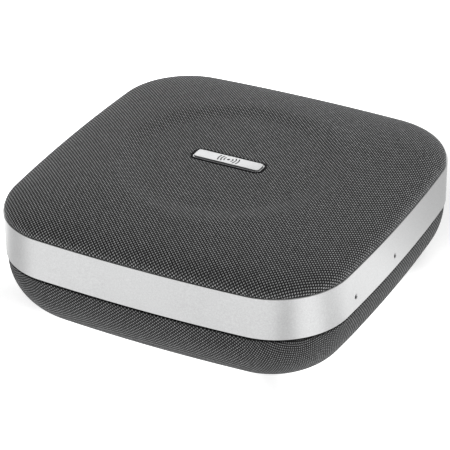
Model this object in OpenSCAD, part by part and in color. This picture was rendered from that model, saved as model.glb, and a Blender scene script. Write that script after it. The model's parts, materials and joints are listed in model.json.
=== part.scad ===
// Conference speakerphone: a rounded-square table-top unit with a cloth crown over an aluminium
// band and a cloth bowl.  The loudspeaker, two passive radiators, battery and boards are inside.
// Millimetres, +Z up, origin on the table under the centre of the body.  The front is -Y.

/* [Body] */
// Width and depth of the body, across the middle of its sides
body_w = 150; // [149:0.5:153]
// How far each side bows out between its corners
side_bow = 3.9; // [3:0.1:5]
// Corner radius of the body in plan
corner_r = 30.6; // [29:0.2:33]
// Height of the band's lower edge above the table
band_z = 30; // [30:0.1:30.4]
// Height of the aluminium band
band_h = 18; // [18:0.1:18.6]
// Wall of the aluminium band
band_wall = 2; // [1.6:0.1:2]

/* [Cloth crown] */
// Rise of the dome above the band
crown_h = 10.5; // [10.2:0.1:12]
// Distance from the edge at which the dome levels out
crown_run = 62; // [60:1:64]
// Squareness of the dome's edge
crown_power = 2.42; // [2.2:0.02:2.6]
// Radius of the round dish in the crown
dish_r = 48.5; // [46:0.5:50]
// Depth of the dish
dish_depth = 1.4; // [0.8:0.1:1.6]
// Width of the dish's sloping rim
dish_slope = 12; // [8:0.5:14]

/* [Cloth bowl] */
// Distance that the bowl's wall curves in towards the base
bowl_run = 30.2; // [29.6:0.1:30.6]
// Squareness of the bowl's wall
bowl_power = 2.18; // [2.1:0.02:2.3]
// Height of the foot ring below the base plate
foot_proud = 1.2; // [1:0.1:1.2]

/* [Nameplate] */
// Length of the nameplate, with its flange
plate_l = 30.2; // [26:0.2:34]
// Width of the nameplate, with its flange
plate_w = 6.8; // [5:0.1:8]
// Width of the flange round the nameplate's raised face
plate_flange = 0.5; // [0.3:0.1:0.7]
// Width of the dark bezel round the nameplate
bezel_w = 0.75; // [0.4:0.05:1]
// Height of that bezel above the shell
bezel_h = 1.15; // [0.8:0.05:1.3]

/* [Ports and buttons] */
// Radius of the microphone ports in the band
mic_port_r = 0.85; // [0.5:0.05:1]
// Inward travel of a button
button_travel = 0.6; // [0.3:0.05:0.6]
// Radius of a button's cap
button_r = 3.3; // [2.8:0.1:3.4]
// Radius of the audio jack's bore
jack_r = 1.8; // [1.7:0.05:1.9]

/* [Hidden] */
$fn = 64;
eps = 0.05;
half = body_w / 2;
band_top = band_z + band_h;
seam = 0.4;           // reveal of band above which the crown's cloth starts
cloth_t = 0.8;        // cloth with its backing
under_cloth = 0.9;    // depth of a shell's face under the cloth's face
shell_t = 2;          // wall of both shells
bowl_seam = 0.6;      // the bowl's cloth starts this far inside the band's face
bowl_top = band_z - 0.5;
bowl_h = 28.9;
bowl_end = 74.4;      // angle at which the bowl's wall stops above the table
inner_gap = 0.3;      // clearance between the band and what it holds
frame_wall = 2.5;
frame_in = band_wall + inner_gap;
frame_out = frame_in + frame_wall;

base_z = foot_proud;
base_t = 2.2;
base_top = base_z + base_t;
base_half = 52;
foot_t = 2;
foot_outer = 46;
foot_inner = 38;
base_screw_at = 38.5;

deck_t = 2;
deck_top = 34.4;
deck_z = deck_top - deck_t;
case_boss_r = 3.5;
case_screw_r = 1.3;
bowl_boss = [50, 48];
crown_boss = [61, 14];

port_z = 39;          // axis height of everything in the band's rear
mic_z = 35.9;
mic_y = [-4.4, -38];
button_x = [-38, -26, 28, 40];
board_t = 1.6;
io_top = port_z - 1.63;
io_half = 44;
io_y = [50, 66.5];
usb_size = [8.94, 3.26];
usb_y = [64.5, 73.6];
jack_x = 14;
jack_y = [61, 69.8];
jack_nose = 73.9;

tub = [100, 72];
tub_z = [10.5, 41];
tub_corner = 8;
tub_wall = 2;
tub_boss = [45, 31];
tub_lug = [54, 31];
gasket_t = 0.8;
baffle_t = 2.2;
baffle_z = tub_z[1] + gasket_t;
baffle_top = baffle_z + baffle_t;
radiator_z = 25;

driver_flange_r = 34.5;
driver_screw_r = 32.3;
driver_z = baffle_top + 0.6;
driver_hole_r = 30.5;
cone_edge_r = 26;
roll_r = 27.9;

main_size = [80, 70];
main_z = 5;
main_top = main_z + board_t;
main_screw = [36, 31];

cell_r = 9.1;
cell_l = 65;
cell_y = -47.5;
cell_z = [15.2, 34];

touch_r = [36, 46];
touch_z = 51.6;
touch_t = 1.2;
touch_post_r = 41;

plate_z = band_top + crown_h - dish_depth - under_cloth;
bezel_l = plate_l + 0.3 + 2 * bezel_w;
bezel_d = plate_w + 0.3 + 2 * bezel_w;
bezel_r = 2.05 + bezel_w;

side_steps = 12;
corner_steps = 8;
plan_side_steps = 14;
plan_corner_steps = 20;
ring_n = 4 * (side_steps + corner_steps);
bowl_steps = 8;
crown_insets = [0, 0.5, 1.8, 4, 7.5, 12, 17, 22, 26, 30, 34, 38, 45, 52];

// ---- The plan: four shallow side arcs joined by tangent corner arcs ----

// Radius of the side arcs of the outline whose half width is h
function side_r(h) = let (b = side_bow * h / half) (h * h + b * b) / (2 * b);
// Radius of its corners, which tighten towards the middle
function corner_at(h) = corner_r * pow(h / half, 1.5);
// Where its corner arcs are centred, as x and as y
function corner_c(h) =
  let (k = h - side_r(h), s = side_r(h) - corner_at(h)) (k + sqrt(2 * s * s - k * k)) / 2;
// Half angle of a side arc
function side_angle(h) = let (c = corner_c(h)) atan2(c, c - h + side_r(h));
// Distance from the centre plane to the wall that lies inset inside the outline
function wall_at(along, inset) =
  let (h = half - inset, r = side_r(h)) h - r + sqrt(r * r - along * along);
function turned(p, q) = [p[0] * cos(q) - p[1] * sin(q), p[0] * sin(q) + p[1] * cos(q)];

// The outline as points, from n steps along each side and m round each corner
function quarter(h, n, m) =
  let (r = side_r(h), k = h - r, c = corner_c(h), a = side_angle(h))
  concat(
    [for (i = [0:n]) let (t = a * (2 * i / n - 1)) [k + r * cos(t), r * sin(t)]],
    [for (i = [1:m - 1])
      let (t = a + (90 - 2 * a) * i / m) [c, c] + corner_at(h) * [cos(t), sin(t)]]);
function outline(h, n = side_steps, m = corner_steps) =
  [for (q = [0:3]) for (p = quarter(h, n, m)) turned(p, 90 * q)];

module plan(inset) {
  polygon(outline(half - inset, plan_side_steps, plan_corner_steps));
}

// A wall that follows the plan between two insets
module plan_wall(outer, inner, z0, z1) {
  translate([0, 0, z0]) linear_extrude(z1 - z0) difference() {
    plan(outer);
    plan(inner);
  }
}

// A skin between two stacks of rings.  Rings run downwards, or upwards if rising is true.
// Cell (i, j) lies between rings i and i + 1, and is a window where open(i, j) is true.
module skin(outer, inner, rising = false, capped = false, open = function (i, j) false) {
  n = len(outer);
  last = n - 1;
  function at(s, i, j) = (s * n + i) * ring_n + (j + ring_n) % ring_n;
  function cell(s, i, j) = [at(s, i, j), at(s, i, j + 1), at(s, i + 1, j + 1), at(s, i + 1, j)];
  function wall(i0, j0, i1, j1) = [at(0, i0, j0), at(0, i1, j1), at(1, i1, j1), at(1, i0, j0)];
  function back(f) = [for (i = [len(f) - 1:-1:0]) f[i]];
  shut = [for (i = [0:last - 1]) for (j = [0:ring_n - 1]) if (!open(i, j)) [i, j]];
  holes = [for (i = [0:last - 1]) for (j = [0:ring_n - 1]) if (open(i, j)) [i, j]];
  faces = concat(
    [for (c = shut) cell(0, c[0], c[1])],
    [for (c = shut) back(cell(1, c[0], c[1]))],
    [for (c = holes) wall(c[0] + 1, c[1], c[0], c[1])],
    [for (c = holes) wall(c[0], c[1] + 1, c[0] + 1, c[1] + 1)],
    [for (c = holes) if (!open(c[0] - 1, c[1])) wall(c[0], c[1], c[0], c[1] + 1)],
    [for (c = holes) if (!open(c[0] + 1, c[1])) wall(c[0] + 1, c[1] + 1, c[0] + 1, c[1])],
    [for (j = [0:ring_n - 1]) wall(0, j + 1, 0, j)],
    capped
      ? [[for (j = [0:ring_n - 1]) at(0, last, j)], [for (j = [ring_n - 1:-1:0]) at(1, last, j)]]
      : [for (j = [0:ring_n - 1]) wall(last, j, last, j + 1)]);
  polyhedron([for (stack = [outer, inner]) for (r = stack) for (p = r) p],
             rising ? [for (f = faces) back(f)] : faces);
}

// ---- Crown and bowl surfaces, depth mm under the cloth's face ----

function dome(u) = pow(1 - pow(1 - u, crown_power), 1 / crown_power);
function smooth(t) = let (c = min(1, max(0, t))) c * c * (3 - 2 * c);
function dish(r) = dish_depth * (1 - smooth((r - dish_r + dish_slope) / dish_slope));
function crown_ring(inset, depth) =
  let (u = inset / crown_run, z = band_top + eps + (crown_h - depth) * dome(u))
  [for (p = outline(half - seam - depth - (crown_run - depth) * u)) [p[0], p[1], z - dish(norm(p))]];
function crown_stack(depth) = [for (inset = crown_insets) crown_ring(inset, depth)];
function bowl_ring(t, depth) =
  let (z = bowl_top - (bowl_h - depth) * pow(sin(t), 2 / bowl_power),
       h = half - bowl_seam - bowl_run + (bowl_run - depth) * pow(cos(t), 2 / bowl_power))
  [for (p = outline(h)) [p[0], p[1], z]];
function bowl_stack(depth) =
  [for (i = [0:bowl_steps]) bowl_ring(bowl_end * i / bowl_steps, depth)];

// ---- Small shared shapes ----

module box(x, y, z) {
  translate([x[0], y[0], z[0]]) cube([x[1] - x[0], y[1] - y[0], z[1] - z[0]]);
}

module tube(r_out, r_in, z0, z1) {
  translate([0, 0, z0]) difference() {
    cylinder(r = r_out, h = z1 - z0);
    translate([0, 0, -1]) cylinder(r = r_in, h = z1 - z0 + 2);
  }
}

module rounded(size, r) {
  square([size[0] - 2 * r, size[1]], center = true);
  square([size[0], size[1] - 2 * r], center = true);
  for (x = [-1, 1]) for (y = [-1, 1])
    translate([x * (size[0] / 2 - r), y * (size[1] / 2 - r)]) circle(r);
}

module slab(size, r, z0, z1) {
  translate([0, 0, z0]) linear_extrude(z1 - z0) rounded(size, r);
}

module at_corners(p) {
  for (x = [-1, 1]) for (y = [-1, 1]) translate([x * p[0], y * p[1], 0]) children();
}

// Turns +Z to +Y at a place in the rear wall, or to +X in the right wall
module to_rear(x, y, z) { translate([x, y, z]) rotate([-90, 0, 0]) children(); }
module to_right(x, y, z) { translate([x, y, z]) rotate([0, 90, 0]) children(); }

// A pan-head screw with its seat at z = 0, pointing down
module screw(r, length, head_r, head_h) {
  difference() {
    union() {
      translate([0, 0, -length]) cylinder(r = r, h = length + eps);
      cylinder(r = head_r, h = head_h);
    }
    for (a = [0, 90]) rotate(a) translate([-head_r * 0.6, -0.2, head_h * 0.45])
      cube([head_r * 1.2, 0.4, head_h]);
  }
}

module small_screw(length) { screw(0.95, length, 1.8, 1.2); }

// A smooth round lead through points, swept as one closed skin
module lead(points, r) {
  sides = 10;
  per_span = 6;
  spans = len(points) - 1;
  function clip(i) = points[min(spans, max(0, i))];
  // Catmull-Rom curve, span i at t from 0 to 1
  function on(i, t) = let (a = clip(i - 1), b = clip(i), c = clip(i + 1), d = clip(i + 2))
    b + 0.5 * t * (c - a + t * (2 * a - 5 * b + 4 * c - d + t * (3 * b - a - 3 * c + d)));
  path = concat([for (i = [0:spans - 1]) for (k = [0:per_span - 1]) on(i, k / per_span)],
                [points[spans]]);
  last = len(path) - 1;
  function unit(v) = v / norm(v);
  function along(i) = unit(path[min(last, i + 1)] - path[max(0, i - 1)]);
  function flat(v, t) = unit(v - (v * t) * t);
  // One sideways vector for each point, carried along so that the skin doesn't twist
  sideways = [for (i = 0, v = flat([0.3, 0.2, 1], along(0)); i <= last;
                   i = i + 1, v = flat(v, along(min(last, i)))) v];
  skin_points = [for (i = [0:last]) let (u = sideways[i], w = cross(along(i), u))
    for (k = [0:sides - 1]) path[i] + r * (u * cos(360 * k / sides) + w * sin(360 * k / sides))];
  polyhedron(skin_points, concat(
    [for (i = [0:last - 1]) for (k = [0:sides - 1]) let (m = (k + 1) % sides)
      [i * sides + k, (i + 1) * sides + k, (i + 1) * sides + m, i * sides + m]],
    [[for (k = [0:sides - 1]) k], [for (k = [sides - 1:-1:0]) last * sides + k]]));
}

// ---- Base ----

module foot_ring() {
  color("#1c1c1e") plan_wall(half - foot_outer, half - foot_inner, 0, foot_t);
}

module base_plate() {
  groove = 0.1;
  color("#26272a") difference() {
    union() {
      translate([0, 0, base_z]) linear_extrude(base_t) plan(half - base_half);
      at_corners(main_screw) translate([0, 0, base_top - eps]) cylinder(r = 3, h = main_z - base_top + eps);
    }
    plan_wall(half - foot_outer - groove, half - foot_inner + groove, base_z - 1, foot_t);
    at_corners([base_screw_at, base_screw_at]) {
      translate([0, 0, foot_t - 1]) cylinder(r = 1.35, h = base_t + 2);
      translate([0, 0, foot_t - eps]) cylinder(r1 = 2.5, r2 = 1.35, h = 1.15);
    }
    at_corners(main_screw) translate([0, 0, base_z + 0.8]) cylinder(r = 1, h = 5);
    slab([42, 22], 2, base_z - 1, base_z + 0.4);
  }
}

module rating_label() {
  color("#b9bcc0") slab([41.4, 21.4], 1.8, base_z + 0.15, base_z + 0.4);
}

module base_screws() {
  color("#8f9296") at_corners([base_screw_at, base_screw_at]) difference() {
    translate([0, 0, foot_t]) union() {
      cylinder(r1 = 2.4, r2 = 1.25, h = 1.15);
      cylinder(r = 1.25, h = 7);
    }
    for (a = [0, 90]) rotate(a) translate([-1.3, -0.2, foot_t - 1]) cube([2.6, 0.4, 1.6]);
  }
}

// ---- Bowl ----

module bottom_shell() {
  ledge = 1.6;
  color("#2b2c2f") difference() {
    union() {
      skin(bowl_stack(under_cloth), bowl_stack(under_cloth + shell_t),
           open = function (i, j) j % 2 == 1 && ((i >= 2 && i <= 3) || (i >= 5 && i <= 6)));
      // ledge that carries the band, and the lip that centres it
      plan_wall(ledge, frame_in + 2, bowl_top - 1.5, band_z - 0.1);
      plan_wall(frame_in, frame_in + 2, bowl_top - 3, band_z + 0.4);
      // flange that the base plate closes
      plan_wall(half - 55.5, half - 43, base_top + 0.1, base_top + 2.1);
      at_corners([base_screw_at, base_screw_at])
        translate([0, 0, base_top + 0.1]) cylinder(r = 3.4, h = 6.8);
      at_corners(bowl_boss) translate([0, 0, 6.5]) cylinder(r = case_boss_r, h = deck_z - 6.5 - 0.1);
    }
    at_corners([base_screw_at, base_screw_at])
      translate([0, 0, base_top - 1]) cylinder(r = 1.3, h = 7);
    at_corners(bowl_boss) translate([0, 0, deck_z - 9]) cylinder(r = case_screw_r + 0.05, h = 10);
  }
}

module bottom_fabric() {
  color("#55565a") skin(bowl_stack(0), bowl_stack(cloth_t));
}

// ---- Band and frame ----

module rear_openings(grow, depth) {
  translate([0, half - depth, port_z]) rotate([-90, 0, 0]) linear_extrude(depth + 5)
    rounded([usb_size[0] + 2 * grow, usb_size[1] + 2 * grow], usb_size[1] / 2 + grow - 0.02);
  to_rear(jack_x, half - depth, port_z) cylinder(r = 3.1, h = depth + 5);
  for (x = button_x) to_rear(x, half - depth, port_z) cylinder(r = button_r + 0.2, h = depth + 5);
}

module band() {
  countersink = 0.4;
  color("#d0d2d4") difference() {
    plan_wall(0, band_wall, band_z, band_top);
    rear_openings(0.42, 8);
    for (y = mic_y) {
      to_right(half - 8, y, mic_z) cylinder(r = mic_port_r, h = 12);
      to_right(wall_at(y, 0) - countersink, y, mic_z)
        cylinder(r1 = mic_port_r, r2 = mic_port_r + 2 * countersink, h = 2 * countersink);
    }
  }
}

module mid_frame() {
  wall_top = band_top - 5.2;
  color("#232427") difference() {
    union() {
      plan_wall(frame_in, frame_out, band_z + 0.5, wall_top);
      translate([0, 0, deck_z]) linear_extrude(deck_t) plan(frame_out - eps);
      // seats for the ports board, the microphone board and the antenna
      for (x = [-40, -20, 20, 36]) translate([x, 55, deck_top - eps])
        cylinder(r = 2.6, h = io_top - board_t - deck_top + eps);
      box([64.2, 66.5], [-25, -19], [deck_top - eps, 39]);
      box([-62.1, -59.8], [-6, 6], [deck_top - eps, 40]);
    }
    translate([0, 0, deck_z - 1]) linear_extrude(deck_t + 2) {
      rounded([tub[0] + 2, tub[1] + 2], tub_corner + 1);
      square([114, 53], center = true);
      translate([0, cell_y + 0.5]) square([74, 23], center = true);
    }
    rear_openings(0.42, 12);
    for (y = mic_y) to_right(half - 12, y, mic_z) cylinder(r = 2.5, h = 14);
    at_corners(bowl_boss) translate([0, 0, deck_z - 1]) cylinder(r = 1.6, h = 5);
    at_corners(crown_boss) translate([0, 0, deck_z - 1]) cylinder(r = 1.6, h = 5);
    at_corners(tub_lug) translate([0, 0, deck_z - 1]) cylinder(r = 1, h = 5);
    for (x = [-39.5, 39.5]) translate([x, -42, deck_z - 1]) cylinder(r = 1, h = 5);
    for (x = [-40, 36]) translate([x, 55, deck_z - 1]) cylinder(r = 1, h = 6);
  }
}

module case_screws() {
  color("#8f9296") {
    at_corners(bowl_boss) translate([0, 0, deck_top]) screw(case_screw_r, 9, 2.4, 1.6);
    at_corners(crown_boss) translate([0, 0, deck_z]) mirror([0, 0, 1]) screw(case_screw_r, 9, 2.4, 1.6);
  }
}

// ---- Crown ----

module top_shell() {
  boss_top = band_top + 5;
  color("#2b2c2f") difference() {
    union() {
      skin(crown_stack(under_cloth), crown_stack(under_cloth + shell_t), rising = true, capped = true,
           open = function (i, j) j % 2 == 1 && ((i >= 4 && i <= 6) || (i >= 11 && i <= 12)));
      // skirt that drops inside the band
      plan_wall(frame_in, frame_in + 2.2, band_top - 5, band_top + 1.2);
      at_corners(crown_boss) translate([0, 0, deck_top + 0.1])
        cylinder(r = case_boss_r, h = boss_top - deck_top);
      for (a = [0:90:270]) rotate(a) translate([touch_post_r, 0, touch_z + touch_t])
        cylinder(r = 2.4, h = 2.2);
    }
    at_corners(crown_boss) translate([0, 0, deck_top]) cylinder(r = case_screw_r + 0.05, h = 9);
    for (a = [0:90:270]) rotate(a) translate([touch_post_r, 0, touch_z]) cylinder(r = 1, h = 3);
    for (x = [-1, 1]) translate([x * plate_l * 0.38, 0, plate_z - 4]) cylinder(r = 1, h = 6);
  }
}

module top_fabric() {
  color("#5c5d61") difference() {
    skin(crown_stack(0), crown_stack(cloth_t), rising = true, capped = true);
    slab([bezel_l + 0.2, bezel_d + 0.2], bezel_r + 0.1, plate_z - 2, plate_z + 5);
  }
}

module nameplate() {
  color("#e8e9ea") {
    slab([plate_l, plate_w], 1.9, plate_z + eps, plate_z + 1.05);
    slab([plate_l - 2 * plate_flange, plate_w - 2 * plate_flange], 1.4, plate_z + 1, plate_z + 1.6);
    for (x = [-1, 1]) translate([x * plate_l * 0.38, 0, plate_z - 3]) cylinder(r = 0.9, h = 3.2);
  }
}

module nameplate_bezel() {
  color("#2f3033") translate([0, 0, plate_z + eps]) linear_extrude(bezel_h) difference() {
    rounded([bezel_l, bezel_d], bezel_r);
    rounded([bezel_l - 2 * bezel_w, bezel_d - 2 * bezel_w], bezel_r - bezel_w);
  }
}

module touch_board() {
  color("#1d5b3a") difference() {
    tube(touch_r[1], touch_r[0], touch_z, touch_z + touch_t - eps);
    for (a = [0:90:270]) rotate(a) translate([touch_post_r, 0, touch_z - 1]) cylinder(r = 1.1, h = 4);
  }
}

module status_leds() {
  color("#f4f4ea") for (a = [-120:15:-60]) rotate(a)
    box([36.6, 38.2], [-0.4, 0.4], [touch_z + touch_t, touch_z + touch_t + 0.5]);
}

// ---- Speaker box ----

module racetrack(l, w) {
  square([l - w, w], center = true);
  for (s = [-1, 1]) translate([s * (l - w) / 2, 0]) circle(w / 2);
}

// A racetrack standing in the tub's side wall, extruded outwards from x0 to x1
module side_track(side, l, w, x0, x1) {
  mirror([side < 0 ? 1 : 0, 0, 0]) translate([x0, 0, radiator_z]) rotate([90, 0, 90])
    linear_extrude(x1 - x0) racetrack(l, w);
}

module speaker_tub() {
  color("#303135") difference() {
    union() {
      slab(tub, tub_corner, tub_z[0], tub_z[1]);
      for (s = [-1, 1]) for (y = [-1, 1]) translate([0, y * tub_lug[1], 0])
        box([s * 53.25 - 4.25, s * 53.25 + 4.25], [-3.5, 3.5], [deck_top + 0.1, deck_top + 2.1]);
    }
    difference() {
      slab([tub[0] - 2 * tub_wall, tub[1] - 2 * tub_wall], tub_corner - tub_wall,
           tub_z[0] + tub_wall, tub_z[1] + 1);
      at_corners(tub_boss) translate([0, 0, tub_z[1] - 10]) cylinder(r = 3.4, h = 12);
    }
    at_corners(tub_boss) translate([0, 0, tub_z[1] - 8]) cylinder(r = 1, h = 10);
    at_corners(tub_lug) translate([0, 0, deck_top - 1]) cylinder(r = 1.1, h = 5);
    for (s = [-1, 1]) side_track(s, 46, 20, tub[0] / 2 - 5, tub[0] / 2 + 1);
    to_rear(30, tub[1] / 2 - 5, 30) cylinder(r = 1.3, h = 10);
  }
}

module tub_gasket() {
  color("#3a3a3c") difference() {
    slab([tub[0] - 0.6, tub[1] - 0.6], tub_corner - 0.3, tub_z[1] + eps, baffle_z - eps);
    slab([tub[0] - 3.4, tub[1] - 3.4], tub_corner - 1.7, tub_z[1] - 1, baffle_z + 1);
  }
}

module baffle() {
  color("#303135") difference() {
    slab(tub, tub_corner, baffle_z, baffle_top);
    translate([0, 0, baffle_z - 1]) cylinder(r = driver_hole_r, h = baffle_t + 2);
    at_corners(tub_boss) translate([0, 0, baffle_z - 1]) cylinder(r = 1.1, h = baffle_t + 2);
    for (a = [45:90:315]) rotate(a) translate([driver_screw_r, 0, baffle_z - 1])
      cylinder(r = 1, h = baffle_t + 2);
  }
}

module small_screws() {
  color("#9a9da1") {
    at_corners(tub_boss) translate([0, 0, baffle_top]) small_screw(8);
    for (a = [45:90:315]) rotate(a) translate([driver_screw_r, 0, driver_z + 1.2]) small_screw(3.8);
    at_corners(main_screw) translate([0, 0, main_top]) small_screw(3.8);
    at_corners(tub_lug) translate([0, 0, deck_top + 2.1]) small_screw(3.6);
    for (x = [-39.5, 39.5]) translate([x, -42, deck_top + 2.1]) small_screw(3.6);
    for (x = [-40, 36]) translate([x, 55, io_top]) small_screw(4.2);
    for (a = [0:90:270]) rotate(a) translate([touch_post_r, 0, touch_z])
      mirror([0, 0, 1]) small_screw(3);
  }
}

// ---- Loudspeaker driver, all round the z axis ----

magnet_z = 16.5;
gap_z = 24;
basket_z = 27.6;

module driver_basket() {
  rim = driver_z + 1.2;
  color("#3b3c40") difference() {
    union() {
      rotate_extrude() polygon([
        [10.5, basket_z], [18.2, basket_z], [30.3, driver_z], [driver_flange_r, driver_z],
        [driver_flange_r, rim], [29.6, rim], [17.4, basket_z + 1.2], [10.5, basket_z + 1.2]]);
      // terminal strip
      rotate(45) box([19.5, 24], [-3, 3], [29.6, 30.6]);
    }
    for (a = [0:90:270]) rotate(a) box([14, 34], [-6.5, 6.5], [32, 41]);
    for (a = [45:90:315]) rotate(a) translate([driver_screw_r, 0, driver_z - 1]) cylinder(r = 1.1, h = 4);
  }
}

module driver_gasket() {
  color("#3a3a3c") difference() {
    tube(driver_flange_r, driver_hole_r + 0.3, baffle_top + eps, driver_z - eps);
    for (a = [45:90:315]) rotate(a) translate([driver_screw_r, 0, baffle_top]) cylinder(r = 1.1, h = 2);
  }
}

module driver_yoke() {
  color("#a4a7ab") {
    translate([0, 0, magnet_z - 3]) cylinder(r = 17.5, h = 3);
    translate([0, 0, magnet_z - eps]) cylinder(r = 8.1, h = basket_z - magnet_z + eps);
  }
}

module driver_magnet() { color("#3f4044") tube(20, 11.5, magnet_z, gap_z); }
module driver_top_plate() { color("#a4a7ab") tube(17.5, 9.7, gap_z, basket_z); }

module voice_coil() {
  color("#b87333") {
    tube(8.85, 8.55, 22.5, 35.2);
    tube(9.25, 8.8, 22.5, 28.5);
  }
}

module driver_spider() {
  color("#c9a227") rotate_extrude() polygon(concat(
    [for (i = [0:8]) [9 + i * 1.25, 31 + (i % 2) * 0.7]],
    [for (i = [8:-1:0]) [9 + i * 1.25, 31.4 + (i % 2) * 0.7]]));
}

module driver_cone() {
  color("#2a2a2c") rotate_extrude() polygon([
    [8.95, 34], [cone_edge_r, driver_z + 0.4], [cone_edge_r, driver_z + 1], [8.95, 34.8]]);
}

module driver_dust_cap() {
  ball = 13;
  rim_z = 35.5;
  color("#2a2a2c") intersection() {
    translate([0, 0, rim_z - sqrt(ball * ball - 92)]) difference() {
      sphere(ball);
      sphere(ball - 0.4);
    }
    translate([0, 0, rim_z]) cylinder(r = 9.6, h = 10);
  }
}

// A half roll seen in section, bulging to +y, with its two glued lands
module roll_section(r, land_in, land_out) {
  difference() {
    circle(r);
    circle(r - 0.5);
    translate([-2 * r, -2 * r]) square([4 * r, 2 * r]);
  }
  translate([-r - land_in, -0.2]) square([land_in + 0.5, 0.45]);
  translate([r - 0.5, 0]) square([land_out + 0.5, 0.45]);
}

module driver_surround() {
  color("#1c1c1e") rotate_extrude() translate([roll_r, driver_z + 1.25]) roll_section(1.9, 0.8, 0.6);
}

// ---- Passive radiators in the tub's side walls ----

radiator_x = tub[0] / 2;
track_bend_r = 7.5;
track_straight = 24;

module radiator_frames() {
  color("#3b3c40") for (s = [-1, 1]) difference() {
    side_track(s, 52, 27, radiator_x + eps, radiator_x + 1.5);
    side_track(s, 44, 20, radiator_x - 1, radiator_x + 3);
  }
}

module radiator_surround(side) {
  section_r = 2.5;
  color("#1c1c1e") mirror([side < 0 ? 1 : 0, 0, 0])
    translate([radiator_x + 1.8, 0, radiator_z]) rotate([90, 0, 90]) for (s = [0, 180]) rotate(s) {
      translate([track_straight / 2, 0, 0]) rotate([0, 0, -90]) rotate_extrude(angle = 180)
        translate([track_bend_r, 0]) roll_section(section_r, 1.2, 1.2);
      translate([track_straight / 2, -track_bend_r, 0]) rotate([90, 0, -90])
        linear_extrude(track_straight) roll_section(section_r, 1.2, 1.2);
    }
}

module radiator_plate(side) {
  color("#b9bcc0") side_track(side, 34.6, 10.6, radiator_x, radiator_x + 1.55);
}

// ---- Electronics ----

module main_board() {
  color("#1d5b3a") difference() {
    box([-main_size[0] / 2, main_size[0] / 2], [-main_size[1] / 2, main_size[1] / 2],
        [main_z + eps, main_top - eps]);
    at_corners(main_screw) translate([0, 0, main_z - 1]) cylinder(r = 1.1, h = 4);
  }
}

module processor_shield() {
  color("#c4c6c9") translate([-14, 6, main_top]) difference() {
    box([-15, 15], [-12, 12], [0, 2.6]);
    box([-14.7, 14.7], [-11.7, 11.7], [-1, 2.3]);
  }
}

module board_chips() {
  color("#17181a") {
    for (x = [12, 24]) translate([x, 12, main_top]) box([-3.5, 3.5], [-3.5, 3.5], [0, 0.9]);
    translate([18, -8, main_top]) box([-2.5, 2.5], [-2.5, 2.5], [0, 0.9]);
    translate([-14, -22, main_top]) box([-4, 4], [-3, 3], [0, 1]);
    for (x = [10, 19, 28]) translate([x, 1, main_top]) box([-3, 3], [-3, 3], [0, 2.8]);
  }
}

module capacitors() {
  color("#8a8f96") for (x = [8, 13, 18, 23]) translate([x, -18, main_top]) cylinder(r = 2, h = 3.4);
}

// Connectors of the battery, loudspeaker, touch board and ports board
connector_at = [[31, -26], [31, 24], [-31, 24], [0, 29]];

module board_connectors() {
  color("#efeee6") for (p = connector_at) translate([p[0], p[1], main_top]) difference() {
    box([-4, 4], [-2.5, 2.5], [0, 3.4]);
    box([-3.4, 3.4], [-1.9, 1.9], [2.6, 5]);
  }
}

module cell(z, r, l) { translate([-l / 2, cell_y, z]) rotate([0, 90, 0]) cylinder(r = r, h = l); }

module battery_cells() {
  color("#2c6fae") for (z = cell_z) {
    cell(z, cell_r, cell_l);
    cell(z, 3, cell_l + 1.4);
  }
}

module battery_cradle() {
  color("#26272a") difference() {
    union() {
      box([-34.9, 34.9], [-49, -38.2], [6, 43.4]);
      for (s = [-1, 1])
        box([s * 38.7 - 4.2, s * 38.7 + 4.2], [-45, -39], [deck_top + 0.1, deck_top + 2.1]);
    }
    for (z = cell_z) cell(z, cell_r + 0.15, cell_l + 1.6);
    for (x = [-39.5, 39.5]) translate([x, -42, deck_top - 1]) cylinder(r = 1.1, h = 5);
  }
}

module io_board() {
  color("#1d5b3a") difference() {
    box([-io_half, io_half], io_y, [io_top - board_t, io_top]);
    box([jack_x - 3.4, jack_x + 3.4], [jack_y[0] - 0.3, 70], [30, 42]);
    for (x = [-40, 36]) translate([x, 55, 30]) cylinder(r = 1.1, h = 10);
  }
}

module usb_receptacle() {
  mouth = 6.2;
  color("#c4c6c9") difference() {
    translate([0, usb_y[0], port_z + 0.02]) rotate([-90, 0, 0])
      linear_extrude(usb_y[1] - usb_y[0]) rounded(usb_size, 1.6);
    translate([0, usb_y[1] - mouth, port_z + 0.02]) rotate([-90, 0, 0])
      linear_extrude(mouth + 1) rounded([8.34, 2.66], 1.3);
  }
  color("#17181a") box([-3.35, 3.35], [usb_y[1] - mouth - eps, usb_y[1] - 1], [port_z - 0.33, port_z + 0.37]);
}

module audio_jack() {
  color("#17181a") difference() {
    union() {
      box([jack_x - 3.1, jack_x + 3.1], jack_y, [port_z - 2.5, port_z + 2.5]);
      to_rear(jack_x, jack_y[1] - eps, port_z) cylinder(r = 2.9, h = jack_nose - jack_y[1] + eps);
    }
    to_rear(jack_x, jack_y[0] + 1, port_z) cylinder(r = jack_r, h = 20);
  }
}

// ---- Buttons.  Distances are measured in from the band's face at the button ----

flange_in = 5.3;
stem_end = 7.2;
switch_in = stem_end + button_travel + 0.4;  // a plunger still stands 0.4 proud when pressed

module button(x) {
  face = wall_at(abs(x) + button_r, 0);
  proud = 0.3;
  to_rear(x, face - flange_in, port_z) cylinder(r = button_r, h = flange_in + proud);
  to_rear(x, face - flange_in - 0.8, port_z) cylinder(r = button_r + 1, h = 0.85);
  to_rear(x, face - stem_end, port_z) cylinder(r = 1.5, h = stem_end - flange_in);
}

module plunger(x) {
  inner = wall_at(abs(x) + button_r, 0) - switch_in - 1.1;
  color("#d9d9d2") to_rear(x, inner, port_z)
    cylinder(r = 1.2, h = 1.1 + switch_in - stem_end - eps);
}

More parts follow.
